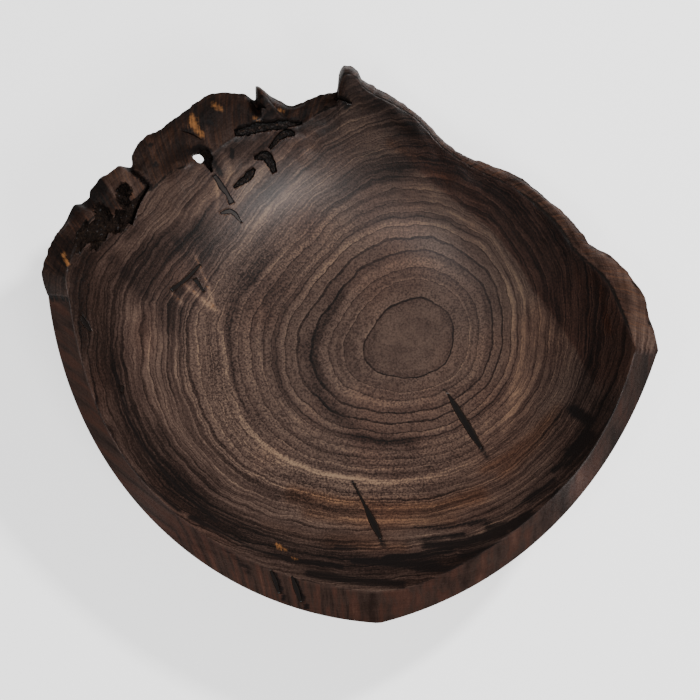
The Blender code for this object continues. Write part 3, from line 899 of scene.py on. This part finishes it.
def feed(shader, name, pattern):
    shader.id_data.links.new(pattern.socket, shader.inputs[name])


print("pattern class ready")

# %% [markdown]
# Every walnut pattern runs in the wood's own space: growth in one direction, and the way round the heart in
# the others. Noise is stretched along the rings in that space, so streaks and fibres follow them everywhere.

# %% Patterns that follow the rings
def wood_patterns(wood):
    """The patterns that the rings, the rim, the colour and the surface are all mixed from."""
    place = wood.node("ShaderNodeTexCoord", output="Object")
    from_heart = wood.node(
        "ShaderNodeVectorMath", {"operation": "MULTIPLY_ADD"},
        {0: place, 1: (1, 1, 0), 2: (-HEART[0] * MM, -HEART[1] * MM, 0)},
    )
    round_heart = wood.node("ShaderNodeVectorMath", {"operation": "NORMALIZE"}, {0: from_heart})
    split = wood.node("ShaderNodeSeparateXYZ", None, {0: round_heart}).socket.node
    east, north = (Pattern(wood.tree, split.outputs[axis]) for axis in (0, 1))
    wobble = (wood.cloud(place, 34, 2) - 0.5) * 7 + (wood.cloud(place, 170, 2) - 0.5) * 2
    grown = wood.stored("growth") + wobble

    def along_rings(across_mm, along_mm, detail, roughness=0.6):
        reach = 80 / along_mm
        return wood.cloud(wood.joined(grown / across_mm, east * reach, north * reach), 1, detail, roughness)

    specks = wood.cloud(place, 880, 1, 0.5)
    return SimpleNamespace(
        place=place, wobble=wobble, grown=grown, patch=wood.cloud(place, 24, 3), specks=specks,
        pores=1 - specks.between(0.36, 0.52), crumbs=wood.cloud(place, 700, 4, 0.7),
        band=along_rings(10, 80, 2), streak=along_rings(2.2, 42, 3), fibre=along_rings(0.8, 12, 2, 0.7),
        smudge=along_rings(0.9, 9, 3, 0.7), ragged=along_rings(1.3, 34, 4, 0.65),
        lip=wood.stored("lip"), natural=wood.stored("natural"), pocket=wood.stored("pocket"),
    )


print("patterns along the rings ready")

# %% [markdown]
# A growth ring starts light, darkens and ends in a thin dark line. The rings crowd towards the bark, so their
# number is a power of the growth. White noise of that number makes some rings strong and others faint.

# %% The growth rings
FIRST_RING, RING_CROWDING, CREAM_RING = 20.25, 1.6, 96.8
RING_SPACING = round(FIRST_RING**RING_CROWDING / RING_CROWDING)


def growth_rings(wood, has):
    """How much lighter or darker the rings make the wood, and the lines between them."""
    grown = has.grown
    spread = wood.node("ShaderNodeTexNoise", {"noise_dimensions": "1D"}, {"W": grown / 14, "Detail": 1.0})
    ring = wood.math("POWER", (grown + (spread - 0.5) * 7) / FIRST_RING, RING_CROWDING) - 0.5
    share = wood.math("FRACT", ring)
    number = wood.math("FLOOR", ring)
    luck, other_luck = (
        wood.node("ShaderNodeTexWhiteNoise", {"noise_dimensions": "1D"}, {"W": seed})
        for seed in (number, number + 0.37)
    )
    past_heart, outer, steep = grown.between(19, 23), grown.between(66, 96), wood.stored("wall")

    spacing = wood.math("POWER", grown, 1 - RING_CROWDING) * RING_SPACING
    to_line = (1 - share) * spacing
    line = to_line.between(0.05, 0.35) * (1 - to_line.between(0.6, 1.3)) * (0.6 + other_luck * 0.4)
    line = line * (1 - outer * 0.65) * past_heart * (0.5 + has.patch.between(0.4, 0.58) * 0.5)
    crest = (1 - share.between(0.0, 0.4)) * past_heart * (0.35 + luck * 0.65)
    darkening = share.between(0.25, 1.0) * (0.3 + luck * 0.7) * past_heart

    rings = crest * 0.13 - darkening * 0.15 - line * 0.34 + (has.band - 0.5) * (0.35 + outer * 0.4)
    rings = rings + (has.streak - 0.5) * (0.08 + outer * 0.34)
    specked = (has.specks - 0.5) * (0.75 - steep * 0.3) - has.pores * (1.25 - share) * (1 - steep) * 0.12
    rings = rings + specked * (0.45 + past_heart * 0.3 + outer * 0.25)
    rings = rings + (has.fibre - 0.5) * (0.12 + steep * 0.5) + (has.smudge - 0.5) * steep * 0.25
    return rings + (has.patch - 0.5) * 0.25, line


def cream_ring(wood, grown):
    """The one pale ring, only where its stroke lies."""
    inner = grown.between(CREAM_RING - 1.5, CREAM_RING - 0.7)
    return inner * (1 - grown.between(CREAM_RING + 0.2, CREAM_RING + 1.1)) * wood.stored("cream")


print("growth rings ready")

# %% [markdown]
# Oiled walnut is one scale of browns, from nearly black to cream, so everything that makes it lighter or
# darker is summed into one tone, and a colour ramp turns the tone into wood. The rim shows end grain: bands
# and fine lines across it. Warm and red browns multiply the wood's colour, and ink, sapwood and the pockets'
# black, which is bark and painted shade, cover it, with painted glints in the pockets.

# %% The colour of the walnut
WALNUT_TONES = (
    (0.0, (0.004, 0.0025, 0.002)),
    (0.22, (0.018, 0.0095, 0.007)),
    (0.45, (0.053, 0.0308, 0.0238)),
    (0.68, (0.11, 0.069, 0.0515)),
    (1.0, (0.26, 0.167, 0.106)),
)
MIDDLE_TONE = 0.535
INK_COLOUR = (0.005, 0.0033, 0.003, 1)
SAPWOOD = (0.3, 0.125, 0.04, 1)
WARM_BROWN = (1.0, 0.76, 0.56, 1)
RED_BROWN = (1.0, 0.74, 0.66, 1)
POCKET_BARK_AND_SHADE = (0.008, 0.0055, 0.0045, 1)
POCKET_BROWN = (0.03, 0.018, 0.012, 1)
POCKET_PAINTED_GLINT = (0.1, 0.1, 0.105, 1)


def walnut_tone(wood, has):
    """How light the wood is, with the end grain of the rim kept for its colour."""
    rings, has.line = growth_rings(wood, has)
    along_rim = wood.stored("sweep") + has.wobble * 0.4
    has.end_bands = wood.cloud(wood.joined(along_rim / 8, has.grown / 24, 0), 1, 3)
    has.end_lines = wood.cloud(wood.joined(along_rim / 1.5, has.grown / 16, 0), 1, 3, 0.65)
    end_grain = (has.end_bands - 0.5) * 0.75 + (has.end_lines - 0.5) * (0.16 + has.natural * 0.6)
    rim = wood.math("MAXIMUM", has.lip, has.natural * 0.8)
    tone = MIDDLE_TONE + rings * (1 - rim * 0.85) + end_grain * rim - has.lip * 0.19 - has.natural * 0.1
    tone = tone + wood.stored("light") * 0.3 - wood.stored("dark") * (0.24 + has.streak * 0.3)
    tone = tone + cream_ring(wood, has.grown) * 0.24 - wood.stored("old_wood") * 0.15
    return tone - wood.stored("lip_dark") * 0.09 - wood.stored("outside") * 0.06 - wood.stored("crust") * 0.12


def walnut_colour(wood, has):
    """The colour of the wood, its stains and its pockets, the pockets with painted shade and painted glints.
    Ink and glints are kept for the surface.
    """
    colour = wood.node("ShaderNodeValToRGB", {"stops": WALNUT_TONES}, {0: walnut_tone(wood, has)})
    warm = wood.stored("warm") * (0.4 + has.band * 0.8)
    colour = colour.tinted(warm.between(0.1, 1.0), WARM_BROWN, "MULTIPLY")
    reddish = wood.cloud(has.place, 15, 2).between(0.45, 0.75) * 0.45 + wood.stored("old_wood") * 0.8
    reddish = reddish + has.lip * has.end_bands.between(0.45, 0.6) * 0.9
    colour = colour.tinted(reddish, RED_BROWN, "MULTIPLY")
    colour = colour.tinted(has.natural * has.end_lines.between(0.45, 0.65) * 0.9, WARM_BROWN, "MULTIPLY")

    ink = wood.math("MAXIMUM", wood.stored("ink"), wood.stored("lip_ink"))
    has.ink = (ink * 1.3 + (has.ragged - 0.5) * 2.6).between(0.15, 1.0) * ink.between(0.02, 0.55)
    colour = colour.tinted(has.ink * 0.94, INK_COLOUR)
    flecks = wood.cloud(has.place, 330, 4, 0.7)
    pale = wood.stored("pale") + (has.end_lines - 0.5) * 1.6 + (flecks - 0.5) * 1.6
    pale = pale.between(0.35, 1.2) * wood.stored("pale").between(0.05, 0.4)
    colour = colour.tinted(pale * 0.75, SAPWOOD)

    # Recesses, cracks and the hole's walls darken with their depth below the surface: black bark and painted
    # shade.
    colour = colour.tinted(has.pocket.between(0.0, 0.2) * 0.97, POCKET_BARK_AND_SHADE)
    colour = colour.tinted(has.crumbs.between(0.5, 0.6) * has.pocket * 0.6, POCKET_BROWN)
    # Painted glints: pale grey specks in the pockets stand for highlights, and the same mask lowers their
    # roughness.
    has.glint = wood.cloud(has.place, 430, 3, 0.6).between(0.63, 0.7) * has.pocket
    return colour.tinted(has.glint * 0.45, POCKET_PAINTED_GLINT)


print("tones of walnut:", len(WALNUT_TONES))

# %% [markdown]
# The surface is satin where the bowl was sanded and oiled, which a weak clear coat gives, and matte where it
# was only brushed. Pores and the lines of the rings are slightly sunk, and the pockets are crumbly.

# %% The oiled walnut finish
def walnut_finish():
    made, wood, shader = new_finish("oiled_walnut_figured")
    has = wood_patterns(wood)
    feed(shader, "Base Color", walnut_colour(wood, has))

    outside = wood.stored("outside")
    roughness = 0.42 + has.pores * 0.12 + (has.patch - 0.5) * 0.1 - has.ink * 0.05
    roughness = roughness + has.pocket * 0.35 - has.glint * 0.35
    feed(shader, "Roughness", roughness + has.lip * 0.1 + has.natural * 0.2 + outside * 0.2)
    brushed = wood.math("MAXIMUM", has.natural, outside)
    feed(shader, "Coat Weight", 0.5 - brushed * 0.5 - has.pocket * 0.5 - has.lip * 0.42)
    shader.inputs["Coat Roughness"].default_value = 0.34
    shader.inputs["Specular IOR Level"].default_value = 0.2

    height = (has.fibre - 0.5) * 0.35 - has.pores * 0.7 - has.line * 0.5
    height = height + has.pocket * (has.crumbs - 0.5) * 18
    brushing = (wood.cloud(has.place, 420, 3) - 0.5) * 2 + (has.end_lines - 0.5) * 2
    height = height + has.natural * brushing
    bump = wood.node("ShaderNodeBump", None, {"Strength": 0.35, "Distance": 0.0003, "Height": height})
    feed(shader, "Normal", bump)
    return made


walnut = walnut_finish()
body.data.materials.clear()
body.data.materials.append(walnut)
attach(body, "root")
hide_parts("bowl_body")
print("walnut nodes:", len(walnut.node_tree.nodes))

# %% [markdown]
# The resin is nearly black and polished, with dust and faint clouds in it, and one old check was filled with
# a blue-grey mix. Bark is crumbly, with brown ridges and black cracks between them, and its faintly shiny
# edges, where it sinks into its groove, are darkened with painted shade.

# %% The finishes of the fills
BARK_TONES = ((0.0, (0.005, 0.0033, 0.0028)), (0.6, (0.02, 0.0105, 0.0075)), (1.0, (0.11, 0.06, 0.036)))
BARK_CRACK = (0.008, 0.005, 0.004, 1)
BARK_EDGE_PAINTED_SHADE = (0.003, 0.0025, 0.0022, 1)


def resin_finish(name, middle, rim, roughness):
    """Polished resin with one colour in its middle and another along its rim."""
    made, resin, shader = new_finish(name)
    place = resin.node("ShaderNodeTexCoord", output="Object")
    clouds = resin.cloud(place, 420, 4)
    dust = resin.cloud(place, 2600, 2).between(0.64, 0.76)
    edge = (resin.stored("edge") + (clouds - 0.5) * 1.2).between(0.35, 0.85)
    colour = resin.node("ShaderNodeValToRGB", {"stops": ((0.0, middle), (1.0, rim))}, {0: edge})
    colour = colour.tinted(dust * 0.3, (*[c * 2.2 for c in middle], 1))
    feed(shader, "Base Color", colour)
    feed(shader, "Roughness", roughness + clouds * 0.1 + dust * 0.2)
    shader.inputs["Specular IOR Level"].default_value = 0.3
    waves = resin.cloud(place, 300, 2)
    bump = resin.node("ShaderNodeBump", None, {"Strength": 0.15, "Distance": 0.0003, "Height": waves})
    feed(shader, "Normal", bump)
    return made


def bark_finish():
    made, bark, shader = new_finish("crumbly_bark")
    place = bark.node("ShaderNodeTexCoord", output="Object")
    ridges = bark.cloud(place, 520, 5, 0.65)
    cracks = bark.node(
        "ShaderNodeTexVoronoi", {"feature": "DISTANCE_TO_EDGE"}, {"Vector": place, "Scale": 480.0}
    )
    crack = 1 - cracks.between(0.0, 0.14)
    colour = bark.node("ShaderNodeValToRGB", {"stops": BARK_TONES}, {0: ridges.between(0.36, 0.74)})
    colour = colour.tinted(crack * 0.8, BARK_CRACK)
    # Painted shade: the bark darkens towards its edges, where it sinks into its groove.
    shaded = (bark.stored("edge") + ridges).between(0.8, 1.3)
    colour = colour.tinted(shaded * 0.85, BARK_EDGE_PAINTED_SHADE)
    feed(shader, "Base Color", colour)
    feed(shader, "Roughness", 0.34 + ridges * 0.4)
    bump = bark.node(
        "ShaderNodeBump", None, {"Strength": 1.0, "Distance": 0.0009, "Height": ridges - crack * 0.6}
    )
    feed(shader, "Normal", bump)
    return made


finishes = {
    RESIN: resin_finish("dark_polished_resin", (0.0085, 0.0066, 0.006), (0.014, 0.0095, 0.0075), 0.36),
    BLUE_RESIN: resin_finish("blue_grey_polished_resin", (0.036, 0.028, 0.024), (0.006, 0.0065, 0.008), 0.38),
    BARK: bark_finish(),
}
for piece, node, slot in fill_pieces:
    piece.data.materials.append(finishes[slot])
    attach(piece, "root")
    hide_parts(node)
print("fills finished:", len(fill_pieces))

# %% [markdown]
# The studio is a white table under an even white sky, with three soft lights: a key light from the back
# right, which leaves the right wall's inside in shade, a broad front light for the sheen on the back wall,
# and a small top light for the soft shine on the floor.

# %% The table, the lights and the camera
def make_table():
    bm = bmesh.new()
    bmesh.ops.create_grid(bm, x_segments=1, y_segments=1, size=2.5)
    table = named_mesh_object("white_table", bm)
    made, _, shader = new_finish("white_table_top")
    shader.inputs["Base Color"].default_value = (0.95, 0.95, 0.95, 1)
    shader.inputs["Roughness"].default_value = 0.9
    shader.inputs["Emission Color"].default_value = (1, 1, 1, 1)
    shader.inputs["Emission Strength"].default_value = 1.3
    table.data.materials.append(made)


def make_light(name, azimuth, elevation, distance, size, power, glossy=True):
    """A square light that looks at the bowl. Azimuth is measured from +X towards +Y."""
    azimuth, elevation = math.radians(azimuth), math.radians(elevation)
    level = math.cos(elevation)
    away = Vector((math.cos(azimuth) * level, math.sin(azimuth) * level, math.sin(elevation)))
    data = bpy.data.lights.new(name, "AREA")
    data.size = size
    data.energy = power
    light = bpy.data.objects.new(name, data)
    light.location = away * distance
    light.rotation_euler = away.to_track_quat("Z", "Y").to_euler()
    light.visible_glossy = glossy
    bpy.context.scene.collection.objects.link(light)


make_table()
# azimuth and elevation in degrees, distance and size in metres, power in watts
make_light("key_light", 43, 41, 1.8, 0.16, 35, glossy=False)
make_light("front_light", 300, 51, 1.8, 0.55, 11.5)
make_light("small_top_light", 222, 70, 1.8, 0.2, 3)
world = bpy.data.worlds.new("white_sky")
world.use_nodes = True
world.node_tree.nodes["Background"].inputs["Color"].default_value = (1, 1, 1, 1)
world.node_tree.nodes["Background"].inputs["Strength"].default_value = 0.2
bpy.context.scene.world = world

CAMERA_ELEVATION, CAMERA_DISTANCE = math.radians(80), 1.15
LOOK_AT = Vector((0, 0, 0.055))
SENSOR_WIDTH, LENS = 36, 101.4
camera_data = bpy.data.cameras.new("camera")
camera_data.sensor_width = SENSOR_WIDTH
camera_data.lens = LENS
camera = bpy.data.objects.new("camera", camera_data)
back = Vector((0, -math.cos(CAMERA_ELEVATION), math.sin(CAMERA_ELEVATION)))
camera.location = LOOK_AT + back * CAMERA_DISTANCE
camera.rotation_euler = back.to_track_quat("Z", "Y").to_euler()
bpy.context.scene.collection.objects.link(camera)
bpy.context.scene.camera = camera
